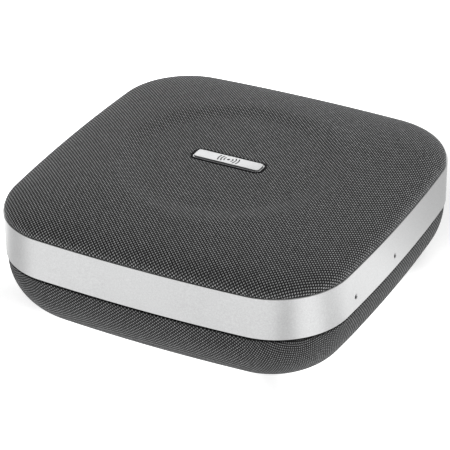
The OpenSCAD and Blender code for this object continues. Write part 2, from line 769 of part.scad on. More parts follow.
// Marks cut into the caps: 0.25 mm deep, drawn in the plane of the cap
module marked_button(x) {
  cut = 0.25;
  face = wall_at(abs(x) + button_r, 0) + 0.3;
  color("#c4c6c9") difference() {
    button(x);
    to_rear(x, face - cut, port_z) linear_extrude(1) children();
  }
}

module bar_mark() { square([2.8, 0.5], center = true); }

module power_button() {
  marked_button(button_x[0]) {
    difference() {
      circle(1.5);
      circle(1.05);
      translate([0, -1.3]) square([1, 1.4], center = true);
    }
    translate([0, -1.2]) square([0.45, 1.6], center = true);
  }
}

module pairing_button() {
  marked_button(button_x[1]) for (r = [0.5, 1.6]) difference() {
    circle(r);
    circle(max(0.01, r - 0.45));
  }
}

module volume_down_button() { marked_button(button_x[2]) bar_mark(); }
module volume_up_button() {
  marked_button(button_x[3]) {
    bar_mark();
    rotate(90) bar_mark();
  }
}

module switch_bodies() {
  color("#17181a") for (x = button_x) {
    face = wall_at(abs(x) + button_r, 0);
    difference() {
      box([x - 3, x + 3], [face - switch_in - 3.5, face - switch_in], [io_top, io_top + 3.5]);
      to_rear(x, face - switch_in - 2, port_z) cylinder(r = 1.35, h = 5);
    }
  }
}

// ---- Microphones, behind the right wall ----

mic_board_x = 66.6;

module mic_board() {
  color("#1d5b3a") difference() {
    box([mic_board_x, mic_board_x + 1.2], [-46, 2], [deck_top + 0.1, deck_top + 6]);
    for (y = mic_y) to_right(mic_board_x - 1, y, mic_z) cylinder(r = 0.5, h = 4);
  }
}

module microphones() {
  color("#c9b37a") for (y = mic_y)
    box([mic_board_x - 1.1, mic_board_x], [y - 1.5, y + 1.5], [mic_z - 1.5, mic_z + 1.9]);
}

module mic_boots() {
  color("#1c1c1e") for (y = mic_y) difference() {
    to_right(mic_board_x + 1.2, y, mic_z)
      cylinder(r = 1.7, h = wall_at(abs(y) + 2.4, band_wall) - mic_board_x - 1.2 - eps);
    to_right(mic_board_x, y, mic_z) cylinder(r = mic_port_r, h = 12);
  }
}

module antenna_board() {
  color("#1d5b3a") box([-63, -62.2], [-9, 9], [deck_top + 0.1, 47]);
}

// ---- Leads that the case holds ----

module battery_lead() {
  color("#b3261e") for (dz = [0, 1.4]) lead([
    [34.4, -52, 24 + dz], [38, -51, 22 + dz], [39.5, -45, 16 + dz], [38.5, -40, 13.6 + dz],
    [35.6, -37.1, 12.2 + dz], [33, -37.1, 9 + dz], [31, -34.5, 7.7 + dz], [31, -31, 7.6 + dz],
    [31, -28.6, 7.6 + dz]], 0.6);
}

module speaker_lead() {
  color("#17181a") lead([
    [31, 26.6, 8.4], [31, 33, 8.4], [31, 37.4, 9], [30.5, 38.6, 12], [30, 38.6, 20], [30, 38.5, 27],
    [30, 37.9, 29.2], [30, 36.4, 30], [30, 34, 30], [30, 31, 30], [26, 25, 30.6],
    [19.5, 19.5, 31.6], [16.4, 16.4, 31.6]], 0.9);
}

// ---- The assembly ----

foot_ring();
base_plate();
rating_label();
base_screws();
bottom_shell();
bottom_fabric();
band();
mid_frame();
case_screws();
top_shell();
top_fabric();
nameplate();
nameplate_bezel();
touch_board();
status_leds();
speaker_tub();
tub_gasket();
baffle();
small_screws();
driver_basket();
driver_gasket();
driver_magnet();
driver_top_plate();
driver_yoke();
driver_spider();
driver_surround();
driver_cone();
driver_dust_cap();
voice_coil();
radiator_frames();
radiator_surround(-1);  // left_radiator_surround
radiator_plate(-1);  // left_radiator_plate
radiator_surround(1);  // right_radiator_surround
radiator_plate(1);  // right_radiator_plate
main_board();
processor_shield();
board_chips();
capacitors();
board_connectors();
battery_cells();
battery_cradle();
io_board();
usb_receptacle();
audio_jack();
switch_bodies();
power_button();
pairing_button();
volume_down_button();
volume_up_button();
plunger(button_x[0]);  // power_plunger
plunger(button_x[1]);  // pairing_plunger
plunger(button_x[2]);  // volume_down_plunger
plunger(button_x[3]);  // volume_up_plunger
mic_board();
microphones();
mic_boots();
antenna_board();
battery_lead();
speaker_lead();
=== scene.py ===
"""Visual model of a table-top conference speakerphone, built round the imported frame."""

import json
import math

import bmesh
import bpy
import numpy as np
from mathutils import Matrix, Vector


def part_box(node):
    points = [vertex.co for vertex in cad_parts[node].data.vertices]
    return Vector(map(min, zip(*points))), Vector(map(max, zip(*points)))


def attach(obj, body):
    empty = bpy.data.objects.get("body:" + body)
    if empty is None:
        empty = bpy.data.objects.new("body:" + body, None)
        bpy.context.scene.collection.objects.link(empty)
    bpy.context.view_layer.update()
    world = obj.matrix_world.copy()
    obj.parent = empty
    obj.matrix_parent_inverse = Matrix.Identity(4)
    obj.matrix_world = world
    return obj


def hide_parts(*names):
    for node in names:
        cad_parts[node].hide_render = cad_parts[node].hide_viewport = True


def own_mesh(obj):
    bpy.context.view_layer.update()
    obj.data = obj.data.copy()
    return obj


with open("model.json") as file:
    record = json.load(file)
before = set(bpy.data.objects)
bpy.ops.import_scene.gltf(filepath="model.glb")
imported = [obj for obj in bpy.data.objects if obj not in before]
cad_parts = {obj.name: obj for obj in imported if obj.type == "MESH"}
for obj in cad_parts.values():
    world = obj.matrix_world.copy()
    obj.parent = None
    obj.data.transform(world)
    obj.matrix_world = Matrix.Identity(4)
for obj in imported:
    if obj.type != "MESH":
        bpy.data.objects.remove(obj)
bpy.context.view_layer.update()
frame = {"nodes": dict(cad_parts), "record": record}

MM = 0.001

# ---- Sizes that the frame gives ----

band_low, band_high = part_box("band")
plate_low, plate_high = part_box("nameplate")
bezel_low, bezel_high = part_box("nameplate_bezel")
foot_low, foot_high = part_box("foot_ring")
HALF = band_high[0]
BAND_Z0 = band_low[2]
BAND_Z1 = band_high[2]
CROWN_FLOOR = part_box("top_fabric")[0][2]
BOWL_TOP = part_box("bottom_fabric")[1][2]

# ---- The body's shape, in metres ----

# how far each side bows out at its middle, and the corners' radius
SIDE_BOW = 3.9 * MM
CORNER_R = 30.6 * MM

# the crown: a rounded edge that runs in and up from the seam, with a shallow dish in its top;
# SEAM is how far inside the band the cloth starts
SEAM = 0.4 * MM
CROWN_BASE = BAND_Z1 + 0.05 * MM
CROWN_H = 10.5 * MM
CROWN_RUN = 62 * MM
CROWN_POWER = 2.42
CROWN_HEM = 0.9 * MM
# how far in the crown's rings follow the plan, before they turn into the nameplate's opening
PLAN_RUN = 40 * MM
DISH_R = 48.5 * MM
DISH_DEPTH = 1.4 * MM
DISH_SLOPE = 12 * MM

# the bowl: an edge of the same kind that runs in and down, and stops BOWL_END degrees round;
# REVEAL is the dark gap between the band and its cloth
BOWL_SEAM = 0.6 * MM
REVEAL = 0.45 * MM
BOWL_H = 28.9 * MM
BOWL_RUN = 30.2 * MM
BOWL_POWER = 2.18
BOWL_END = 74.4
BOWL_HEM = 0.45 * MM

# the cloth: its thickness, and the distance from yarn to yarn each way
CLOTH_T = 0.7 * MM
WARP_PITCH = 0.814 * MM
WEFT_PITCH = 0.759 * MM

# the band, its sockets and its microphone ports
BAND_WALL = 2.0 * MM
BAND_LIP = 0.22 * MM
BAND_DRAFT = 0.1 * MM
PORT_Z = 39 * MM
USB_OPENING = (9.78 * MM, 4.1 * MM)
USB_CORNER = 2.0 * MM
JACK_X = 14 * MM
JACK_R = 3.1 * MM
MIC_Z = 35.9 * MM
MIC_Y = (-4.4 * MM, -38 * MM)
MIC_R = 0.85 * MM

# the nameplate, its surround and the cloth's opening round them
PLATE_T = 1.55 * MM
PLATE_CORNER = 1.9 * MM
PLATE_FLANGE = 0.5 * MM
PLATE_STEP = 0.55 * MM
MARK_DEPTH = 0.15 * MM
MARK_STROKE = 0.5 * MM
BEZEL_WALL = 0.75 * MM
BEZEL_CORNER = 2.8 * MM
OPENING_GAP = 0.15 * MM

# the foot's half widths, its edges' radius, and how far in from its outer edge the grooves are
FOOT_OUTER = 46 * MM
FOOT_INNER = 38 * MM
FOOT_EDGE = 0.5 * MM
FOOT_GROOVES = (2.4 * MM, 4.0 * MM, 5.6 * MM)

# the press buttons: depths are measured in from the cap's face
BUTTONS = ("power", "pairing", "volume_down", "volume_up")
BUTTON_R = 3.3 * MM
BUTTON_GAP = 0.2 * MM
BUTTON_EDGE = 0.35 * MM
FLANGE_R = BUTTON_R + 0.8 * MM
FLANGE_FRONT = 5.3 * MM
FLANGE_BACK = 6.1 * MM
STEM_R = 1.5 * MM


# ---- Mesh helpers ----


def new_object(name, verts, faces, smooth=True):
    mesh = bpy.data.meshes.new(name)
    mesh.from_pydata([tuple(v) for v in verts], [], [tuple(f) for f in faces])
    mesh.update()
    obj = bpy.data.objects.new(name, mesh)
    bpy.context.scene.collection.objects.link(obj)
    fix_normals(obj)
    if smooth:
        mesh.polygons.foreach_set("use_smooth", [True] * len(mesh.polygons))
    return obj


def fix_normals(obj):
    bm = bmesh.new()
    bm.from_mesh(obj.data)
    bmesh.ops.recalc_face_normals(bm, faces=bm.faces)
    bm.to_mesh(obj.data)
    bm.free()


def ring_faces(count, n, closed=False):
    """Quads between count rings of n points, and between the last and first if closed."""
    spans = range(count if closed else count - 1)
    return [
        (i * n + j, i * n + (j + 1) % n, (i + 1) % count * n + (j + 1) % n, (i + 1) % count * n + j)
        for i in spans
        for j in range(n)
    ]


def modify(obj, kind, **settings):
    mod = obj.modifiers.new(kind.lower(), kind)
    for key, value in settings.items():
        setattr(mod, key, value)


def apply_modifiers(obj):
    depsgraph = bpy.context.evaluated_depsgraph_get()
    mesh = bpy.data.meshes.new_from_object(obj.evaluated_get(depsgraph))
    old = obj.data
    obj.modifiers.clear()
    obj.data = mesh
    mesh.name = old.name
    bpy.data.meshes.remove(old)


def cut(obj, cutters):
    """Takes the cutters' shapes out of obj. The new walls get the cutters' materials."""
    settings = {"operation": "DIFFERENCE", "solver": "EXACT", "material_mode": "TRANSFER"}
    for cutter in cutters:
        modify(obj, "BOOLEAN", object=cutter, **settings)
    apply_modifiers(obj)
    for cutter in cutters:
        bpy.data.objects.remove(cutter)


def smooth_by_angle(obj, degrees=35):
    for polygon in obj.data.polygons:
        polygon.use_smooth = True
    obj.data.set_sharp_from_angle(angle=math.radians(degrees))


def prism(name, shape, low, high, matrix=None):
    """A closed prism over a 2D shape, from low to high along +Z, then moved by matrix."""
    n = len(shape)
    verts = [Vector((x, y, z)) for z in (low, high) for x, y in shape]
    if matrix is not None:
        verts = [matrix @ v for v in verts]
    faces = [tuple(range(n - 1, -1, -1)), tuple(range(n, 2 * n))]
    faces += [(j, (j + 1) % n, n + (j + 1) % n, n + j) for j in range(n)]
    return new_object(name, verts, faces, smooth=False)


def circle_points(radius, count=48):
    angles = [2 * math.pi * k / count for k in range(count)]
    return [(radius * math.cos(a), radius * math.sin(a)) for a in angles]


def rounded_points(length, width, radius, steps=8):
    """A rectangle with round corners, centred on the origin."""
    points = []
    for quarter in range(4):
        cx = (length / 2 - radius) * (1 if quarter in (0, 3) else -1)
        cy = (width / 2 - radius) * (1 if quarter in (0, 1) else -1)
        for k in range(steps + 1):
            angle = math.radians(90 * quarter + 90 * k / steps)
            points.append((cx + radius * math.cos(angle), cy + radius * math.sin(angle)))
    return points


def arc_strip(radius, width, start, end, steps=20):
    """The outline of a stroke of the given width along an arc, in degrees."""
    angles = [math.radians(start + (end - start) * k / steps) for k in range(steps + 1)]

    def arc(r):
        return [(r * math.cos(a), r * math.sin(a)) for a in angles]

    return arc(radius + width / 2) + arc(radius - width / 2)[::-1]


def bar(length, width):
    """The outline of a straight stroke with nearly round ends."""
    return rounded_points(length, width, min(length, width) * 0.45, 4)


def profile_stack(outline_at, profile):
    """A closed ring whose section is profile, (inset, z) pairs, round outline_at(inset)."""
    rings = [[(x, y, z) for x, y in outline_at(inset)] for inset, z in profile]
    n = len(rings[0])
    return [p for ring in rings for p in ring], ring_faces(len(rings), n, closed=True)


def lathe(name, profile, matrix, count=64):
    """A solid of revolution about +Z, from (radius, z) pairs that start and end on the axis."""
    rings = [[(x, y, z) for x, y in circle_points(r, count)] for r, z in profile[1:-1]]
    verts = [p for ring in rings for p in ring]
    verts += [(0, 0, profile[0][1]), (0, 0, profile[-1][1])]
    faces = ring_faces(len(rings), count)
    first, last, base = len(verts) - 2, len(verts) - 1, (len(rings) - 1) * count
    faces += [(first, (k + 1) % count, k) for k in range(count)]
    faces += [(last, base + k, base + (k + 1) % count) for k in range(count)]
    return new_object(name, [matrix @ Vector(v) for v in verts], faces)


def to_rear(x, y, z):
    """Turns +Z to +Y at a place in the rear wall: as seen from behind, +X is left and +Y is down."""
    return Matrix.Translation((x, y, z)) @ Matrix.Rotation(math.radians(-90), 4, "X")


def to_right(x, y, z):
    """Turns +Z to +X at a place in the right wall."""
    return Matrix.Translation((x, y, z)) @ Matrix.Rotation(math.radians(90), 4, "Y")


# ---- The body's plan: four shallow side arcs joined by tangent corner arcs ----


def side_radius(h):
    """The radius of the side arcs in the outline of half width h."""
    bow = SIDE_BOW * h / HALF
    return (h * h + bow * bow) / (2 * bow)


def outline(h, side_steps=24, corner_steps=24):
    """Points round the outline of half width h, and the outward normal at each."""
    r_side = side_radius(h)
    r_corner = CORNER_R * (h / HALF) ** 1.5
    k = h - r_side
    s = r_side - r_corner
    c = (k + math.sqrt(2 * s * s - k * k)) / 2
    a = math.atan2(c, c - k)
    t_side = a * (2 * np.arange(side_steps + 1) / side_steps - 1)
    t_corner = a + (math.pi / 2 - 2 * a) * np.arange(1, corner_steps) / corner_steps
    side = np.stack([k + r_side * np.cos(t_side), r_side * np.sin(t_side)], 1)
    corner = np.stack([c + r_corner * np.cos(t_corner), c + r_corner * np.sin(t_corner)], 1)
    quarter = np.concatenate([side, corner])
    angles = np.concatenate([t_side, t_corner])
    points, normals = [], []
    for q in range(4):
        turn = q * math.pi / 2
        rotation = np.array([[math.cos(turn), math.sin(turn)], [-math.sin(turn), math.cos(turn)]])
        points.append(quarter @ rotation)
        normals.append(np.stack([np.cos(angles + turn), np.sin(angles + turn)], 1))
    return np.concatenate(points), np.concatenate(normals)


def wall_at(along):
    """How far out the band's side is, at a distance along it from its middle."""
    r = side_radius(HALF)
    return HALF - r + math.sqrt(r * r - along * along)


def superellipse(t, power):
    """How far in and how far along a rounded edge has gone at angle t, each from 0 to 1."""
    return 1 - math.cos(t) ** (2 / power), math.sin(t) ** (2 / power)


def smooth(t):
    """An even S curve from 0 at t = 0 to 1 at t = 1."""
    t = np.clip(t, 0, 1)
    return t * t * (3 - 2 * t)


def dish(x, y):
    """How far the dish lowers the crown at a place in plan."""
    return DISH_DEPTH * (1 - smooth((np.hypot(x, y) - DISH_R + DISH_SLOPE) / DISH_SLOPE))


# ---- Cloth: one flat sheet stretched over each half ----


def cloth_piece(name, rings, flat):
    """A surface through rings of points, and its flat size and area, from their flat positions.

    Its "cloth" attribute holds the flat positions, so that the weave follows the form.
    """
    n = len(rings[0])
    obj = new_object(name, np.concatenate(rings), ring_faces(len(rings), n))
    attribute = obj.data.attributes.new("cloth", "FLOAT_VECTOR", "POINT")
    spread = np.concatenate([np.concatenate(flat), np.zeros((n * len(rings), 1))], 1)
    attribute.data.foreach_set("vector", spread.astype(np.float32).ravel())
    outer, inner = sorted((abs(polygon_area(flat[0])), abs(polygon_area(flat[-1]))), reverse=True)
    reach = np.abs(np.concatenate(flat)).max(axis=0) * 2
    return obj, {"flat": [float(x) for x in reach], "area": float(outer - inner)}


def polygon_area(points):
    x, y = points[:, 0], points[:, 1]
    return (x * np.roll(y, -1) - y * np.roll(x, -1)).sum() / 2


def stretched(rings, normals, start):
    """Flat positions of rings that run inwards: out from ring start, and in from it."""
    flat = [None] * len(rings)
    flat[start] = rings[start][:, :2]
    for step in (-1, 1):
        extra = np.zeros(len(rings[0]))
        i = start + step
        while 0 <= i < len(rings):
            move = rings[i] - rings[i - step]
            over_plan = np.linalg.norm(move[:, :2], axis=1)
            onward = -step * (move[:, :2] * normals[i]).sum(1) >= 0
            extra += np.linalg.norm(move, axis=1) - np.where(onward, over_plan, -over_plan)
            flat[i] = rings[i][:, :2] - step * normals[i] * extra[:, None]
            i += step
    return flat


def level_ring(h, z):
    """A ring at one height round the outline of half width h, and its normals in plan."""
    points, normal = outline(h)
    return np.column_stack([points, np.full(len(points), z)]), normal


def on_crown(points, up):
    """Plan points lifted to a share of the crown's height, less the dish."""
    z = CROWN_BASE + CROWN_H * up - dish(points[:, 0], points[:, 1])
    return np.column_stack([points, z])


def make_crown():
    rings, normals = [], []

    def add(ring, normal):
        rings.append(ring)
        normals.append(normal)

    edge_h = HALF - SEAM
    add(*level_ring(edge_h - CROWN_HEM - 0.3 * MM, CROWN_FLOOR + 0.02 * MM))
    add(*level_ring(edge_h - CROWN_HEM * 0.5, CROWN_FLOOR))
    steps = 40
    last_angle = math.acos((1 - PLAN_RUN / CROWN_RUN) ** (CROWN_POWER / 2))
    for k in range(steps + 1):
        across, up = superellipse(last_angle * k / steps, CROWN_POWER)
        points, normal = outline(edge_h - CROWN_RUN * across)
        add(on_crown(points, up), normal)
    # from here the rings turn into the nameplate's opening
    outer, out_normal = rings[-1][:, :2], normals[-1]
    hole = opening_points(np.arctan2(outer[:, 1], outer[:, 0]))
    inward_steps = 18
    for k in range(1, inward_steps + 1):
        share = k / inward_steps
        run = (PLAN_RUN + (CROWN_RUN - PLAN_RUN) * share) / CROWN_RUN
        up = (1 - (1 - run) ** CROWN_POWER) ** (1 / CROWN_POWER)
        add(on_crown(outer * (1 - share) + hole * share, up), out_normal)
    # the cut edge turns down into the recess
    opening = len(rings) - 1
    rim = rings[opening][:, 2]
    for shrink, drop in ((0.12, 0.06), (0.2, 0.2), (0.22, 0.5), (0.22, 0.8)):
        points = hole * (1 - shrink * MM / np.hypot(hole[:, 0], hole[:, 1]))[:, None]
        add(np.column_stack([points, rim - drop * MM]), out_normal)
    flat = stretched(rings, normals, start=opening)
    return cloth_piece("crown_cloth", rings, flat)


def opening_points(angles):
    """Where rays from the centre meet the nameplate opening's edge, found by halving."""
    reach = np.array(bezel_high[:2]) + OPENING_GAP
    radius = BEZEL_CORNER + OPENING_GAP
    points = []
    for angle in angles:
        direction = np.array([math.cos(angle), math.sin(angle)])
        low, high = 0.0, reach[0] * 1.5
        for _ in range(40):
            middle = (low + high) / 2
            over = np.abs(direction * middle) - (reach - radius)
            outside = np.hypot(*np.maximum(over, 0)) + min(max(over), 0) > radius
            low, high = (low, middle) if outside else (middle, high)
        points.append(direction * low)
    return np.array(points)


def make_bowl():
    rings, normals = [], []

    def add(h, z):
        ring, normal = level_ring(h, z)
        rings.append(ring)
        normals.append(normal)

    edge_h = HALF - BOWL_SEAM
    hem_z = BOWL_TOP - REVEAL - BOWL_HEM
    for k in range(4):
        angle = math.radians(90 - 30 * k)
        add(edge_h - BOWL_HEM + BOWL_HEM * math.cos(angle), hem_z + BOWL_HEM * math.sin(angle))
    steps = 40
    for k in range(1, steps + 1):
        across, down = superellipse(math.radians(BOWL_END) * k / steps, BOWL_POWER)
        z = BOWL_TOP - BOWL_H * down
        if z < hem_z:
            add(edge_h - BOWL_RUN * across, z)
    # the lower edge is pulled in over the base plate's rim
    last_h, last_z = rings[-1][:, 0].max(), rings[-1][0, 2]
    add(last_h - 0.6 * MM, last_z - 0.02 * MM)
    add(last_h - 1.0 * MM, last_z + 0.3 * MM)
    flat = stretched(rings, normals, start=len(rings) - 1)
    return cloth_piece("bowl_cloth", rings, flat)


# ---- Hard outer pieces ----


def make_band():
    middle = (BAND_Z0 + BAND_Z1) / 2
    chamfer = 0.1 * MM
    inner_edge = 0.15 * MM
    profile = [
        (BAND_DRAFT + BAND_LIP, BAND_Z0),
        (BAND_DRAFT + chamfer, BAND_Z0 + chamfer),
        (BAND_DRAFT, BAND_Z0 + BAND_LIP),
        (BAND_DRAFT * 0.5, middle),
        (0.0, BAND_Z1 - BAND_LIP),
        (chamfer, BAND_Z1 - chamfer),
        (BAND_LIP, BAND_Z1),
        (BAND_WALL - inner_edge, BAND_Z1),
        (BAND_WALL, BAND_Z1 - inner_edge),
        (BAND_WALL, BAND_Z0 + inner_edge),
        (BAND_WALL - inner_edge, BAND_Z0),
    ]
    verts, faces = profile_stack(lambda inset: outline(HALF - inset, 32, 36)[0], profile)
    band = new_object("band_ring", verts, faces)
    cut(band, band_cutters())
    smooth_by_angle(band, 22)
    return band


def band_cutters():
    """The openings for two sockets and four caps, and the microphone ports with their bevels."""

    def through(name, shape, x):
        return prism(name, shape, -8 * MM, 6 * MM, to_rear(x, HALF, PORT_Z))

    cutters = [
        through("usb_cut", rounded_points(*USB_OPENING, USB_CORNER), 0),
        through("jack_cut", circle_points(JACK_R), JACK_X),
    ]
    for name in BUTTONS:
        low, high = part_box(name + "_button")
        cutters.append(through(name, circle_points(BUTTON_R + BUTTON_GAP, 64), (low[0] + high[0]) / 2))
    bevel = 0.3 * MM
    port = [(0, -5 * MM), (MIC_R, -5 * MM), (MIC_R, -bevel), (MIC_R + 2 * bevel, bevel), (0, bevel)]
    for y in MIC_Y:
        cutters.append(lathe("mic_cut", port, to_right(wall_at(y) - 0.1 * MM, y, MIC_Z), 32))
    return cutters


def plate_loft(name, outline_at, levels):
    """A closed plate from (inset, z) levels, capped at both ends."""
    rings = [[(x, y, z) for x, y in outline_at(inset)] for inset, z in levels]
    n = len(rings[0])
    verts = [p for ring in rings for p in ring]
    faces = ring_faces(len(rings), n)
    faces += [tuple(range(n)), tuple(range((len(rings) - 1) * n, len(rings) * n))]
    return new_object(name, verts, faces)


def make_nameplate():
    """A raised satin face on a thin flange, with a plain sound mark cut into it."""
    size = np.array(plate_high[:2]) - np.array(plate_low[:2])
    top = plate_high[2]

    def at(inset):
        return rounded_points(size[0] - 2 * inset, size[1] - 2 * inset, PLATE_CORNER - inset, 10)

    levels = [(0.0, top - PLATE_T)]
    levels += quarter_round(0.0, top - PLATE_STEP, 0.14 * MM)
    levels.append((PLATE_FLANGE, top - PLATE_STEP))
    levels += quarter_round(PLATE_FLANGE, top, 0.16 * MM)
    plate = painted(plate_loft("nameplate_face", at, levels), "nameplate")
    engrave(plate, sound_mark(), top - MARK_DEPTH, top + MM)
    smooth_by_angle(plate, 40)
    return plate


def sound_mark():
    """A dot with three arcs on either side, none of which rises past the mark's half height."""
    half_height = 1.9 * MM
    strokes = [circle_points(0.62 * MM, 24)]
    for radius in (1.8 * MM, 3.1 * MM, 4.4 * MM):
        reach = math.degrees(math.asin(min(0.64, half_height / radius)))
        for side in (0, 180):
            strokes.append(arc_strip(radius, MARK_STROKE, side - reach, side + reach))
    return strokes


def engrave(obj, strokes, low, high, place=None):
    """Cuts strokes into obj, and leaves their walls and floors dark."""
    cut(obj, [painted(prism("mark", stroke, low, high, place), "etched") for stroke in strokes])


def quarter_round(inset, top, radius, steps=4):
    """(inset, z) pairs up and over a rounded upper edge."""
    angles = [math.radians(90 * k / steps) for k in range(steps + 1)]
    return [(inset + radius * (1 - math.cos(a)), top - radius * (1 - math.sin(a))) for a in angles]


def make_bezel():
    top, bottom = bezel_high[2], bezel_low[2]
    size = np.array(bezel_high[:2]) - np.array(bezel_low[:2])

    def at(inset):
        return rounded_points(size[0] - 2 * inset, size[1] - 2 * inset, BEZEL_CORNER - inset, 10)

    outer = quarter_round(0.0, top, 0.12 * MM)
    inner = [(BEZEL_WALL - inset, z) for inset, z in outer[::-1]]
    verts, faces = profile_stack(at, [(0.0, bottom)] + outer + inner + [(BEZEL_WALL, bottom)])
    bezel = new_object("nameplate_surround", verts, faces)
    smooth_by_angle(bezel, 50)
    return bezel


def make_foot():
    sole, top = foot_low[2], foot_high[2] - 0.02 * MM
    outer, inner = HALF - FOOT_OUTER, HALF - FOOT_INNER
    bends = [math.radians(90 * k / 4) for k in range(5)]
    profile = [(outer, top)]
    for a in bends:
        profile.append((outer + FOOT_EDGE * (1 - math.cos(a)), sole + FOOT_EDGE * (1 - math.sin(a))))
    for groove in FOOT_GROOVES:
        for shift, rise in ((-0.35, 0.0), (-0.15, 0.3), (0.15, 0.3), (0.35, 0.0)):
            profile.append((outer + groove + shift * MM, sole + rise * MM))
    for a in bends:
        profile.append((inner - FOOT_EDGE * (1 - math.sin(a)), sole + FOOT_EDGE * (1 - math.cos(a))))
    profile.append((inner, top))
    verts, faces = profile_stack(lambda inset: outline(HALF - inset)[0], profile)
    foot = new_object("foot_sole", verts, faces)
    smooth_by_angle(foot, 50)
    return foot


def button_marks(name):
    """Outlines of the strokes cut into each cap, in its own plane, where -Y is up."""
    stroke, long = 0.42 * MM, 2.7 * MM
    if name == "power":
        upright = [(x, y - 1.2 * MM) for x, y in bar(stroke, 1.5 * MM)]
        return [arc_strip(1.28 * MM, stroke, -60, 240), upright]
    if name == "pairing":
        arcs = [arc_strip(1.4 * MM, stroke, start, start + 130) for start in (25, 205)]
        return [circle_points(0.45 * MM, 24)] + arcs
    level = bar(long, 0.5 * MM)
    return [level] if name == "volume_down" else [level, bar(0.5 * MM, long)]


def make_button(name):
    low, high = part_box(name + "_button")
    place = to_rear((low[0] + high[0]) / 2, high[1], PORT_Z)
    back = low[1] - high[1]
    profile = [(0, back), (STEM_R, back), (STEM_R, -FLANGE_BACK), (FLANGE_R, -FLANGE_BACK)]
    profile += [(FLANGE_R, -FLANGE_FRONT), (BUTTON_R, -FLANGE_FRONT)]
    profile += [(BUTTON_R - inset, z) for inset, z in quarter_round(0.0, 0.0, BUTTON_EDGE)]
    # the cap is slightly hollowed, to find it by touch
    profile += [(BUTTON_R * 0.6, -0.04 * MM), (BUTTON_R * 0.3, -0.09 * MM), (0, -0.1 * MM)]
    button = painted(lathe(name + "_cap", profile, place, 64), "button")
    engrave(button, button_marks(name), -0.3 * MM, 1 * MM, place)
    smooth_by_angle(button, 30)
    return button


# ---- Materials ----


class Shader:
    """A material being wired up: short calls for the nodes used here."""

    def __init__(self, name, **sockets):
        self.material = bpy.data.materials.new(name)
        self.material.use_nodes = True
        self.tree = self.material.node_tree
        self.surface = self.tree.nodes["Principled BSDF"]
        for key, value in sockets.items():
            self.surface.inputs[key.replace("_", " ")].default_value = value
        self.coords = None

    def node(self, kind, **settings):
        made = self.tree.nodes.new(kind)
        for key, value in settings.items():
            setattr(made, key, value)
        return made

    def link(self, value, socket):
        """Wires a socket to another, or sets it to a plain value."""
        if isinstance(value, bpy.types.NodeSocket):
            self.tree.links.new(value, socket)
        else:
            socket.default_value = value

    def math(self, operation, a, b=0.0):
        made = self.node("ShaderNodeMath", operation=operation)
        self.link(a, made.inputs[0])
        self.link(b, made.inputs[1])
        return made.outputs[0]

    def vector(self, operation, a, b=(0, 0, 0), output="Vector"):
        made = self.node("ShaderNodeVectorMath", operation=operation)
        self.link(a, made.inputs[0])
        self.link(b, made.inputs[1])
        return made.outputs[output]

    def place(self, stretch=(1, 1, 1)):
        """The object's own coordinates, in metres, stretched for grain that runs one way."""
        if self.coords is None:
            self.coords = self.node("ShaderNodeTexCoord").outputs["Object"]
        if stretch == (1, 1, 1):
            return self.coords
        return self.vector("MULTIPLY", self.coords, stretch)

    def noise(self, size, where=None, detail=2.0, roughness=0.5, output="Fac"):
        made = self.node("ShaderNodeTexNoise")
        made.inputs["Scale"].default_value = 1 / size
        made.inputs["Detail"].default_value = detail
        made.inputs["Roughness"].default_value = roughness
        self.link(self.place() if where is None else where, made.inputs["Vector"])
        return made.outputs[output]

    def voronoi(self, size):
        made = self.node("ShaderNodeTexVoronoi")
        made.inputs["Scale"].default_value = 1 / size
        self.link(self.place(), made.inputs["Vector"])
        return made.outputs["Distance"]

    def part(self, vector, axis):
        made = self.node("ShaderNodeSeparateXYZ")
        self.link(vector, made.inputs[0])
        return made.outputs[axis]

    def span(self, value, low, high, to_low, to_high):
        """Value, mapped from one range to another and held within it."""
        made = self.node("ShaderNodeMapRange")
        given = {"Value": value, "From Min": low, "From Max": high, "To Min": to_low, "To Max": to_high}
        for key, entry in given.items():
            self.link(entry, made.inputs[key])
        return made.outputs[0]

    def mix(self, factor, a, b):
        """A blend of two colours, which are the node's sockets 6 and 7."""
        made = self.node("ShaderNodeMix", data_type="RGBA")
        self.link(factor, made.inputs["Factor"])
        for value, key in ((a, 6), (b, 7)):
            self.link((*value, 1.0) if isinstance(value, tuple) else value, made.inputs[key])
        return made.outputs[2]

    def bump(self, height, depth, strength=1.0):
        made = self.node("ShaderNodeBump")
        made.inputs["Strength"].default_value = strength
        made.inputs["Distance"].default_value = depth
        self.link(height, made.inputs["Height"])
        self.link(made.outputs[0], self.surface.inputs["Normal"])

    def colour(self, value):
        self.link(value, self.surface.inputs["Base Color"])

    def rough(self, value):
        self.link(value, self.surface.inputs["Roughness"])


def grey(value):
    return (value, value, value)


def shade(colour, factor):
    return tuple(min(1.0, c * factor) for c in colour)


def plastic(name, colour, roughness=0.55, grain=0.25, depth=0.02, gloss=0.45):
    """Moulded plastic or lacquer: a fine pebbled grain and a slightly uneven tone."""
    s = Shader(name, Specular_IOR_Level=gloss)
    grit = s.voronoi(grain * MM)
    patches = s.noise(14 * MM, detail=3)
    s.colour(s.mix(patches, shade(colour, 0.85), shade(colour, 1.15)))
    s.rough(s.span(s.noise(3 * MM), 0.3, 0.7, roughness - 0.06, roughness + 0.08))
    s.bump(grit, depth * MM, 0.6)
    return s.material


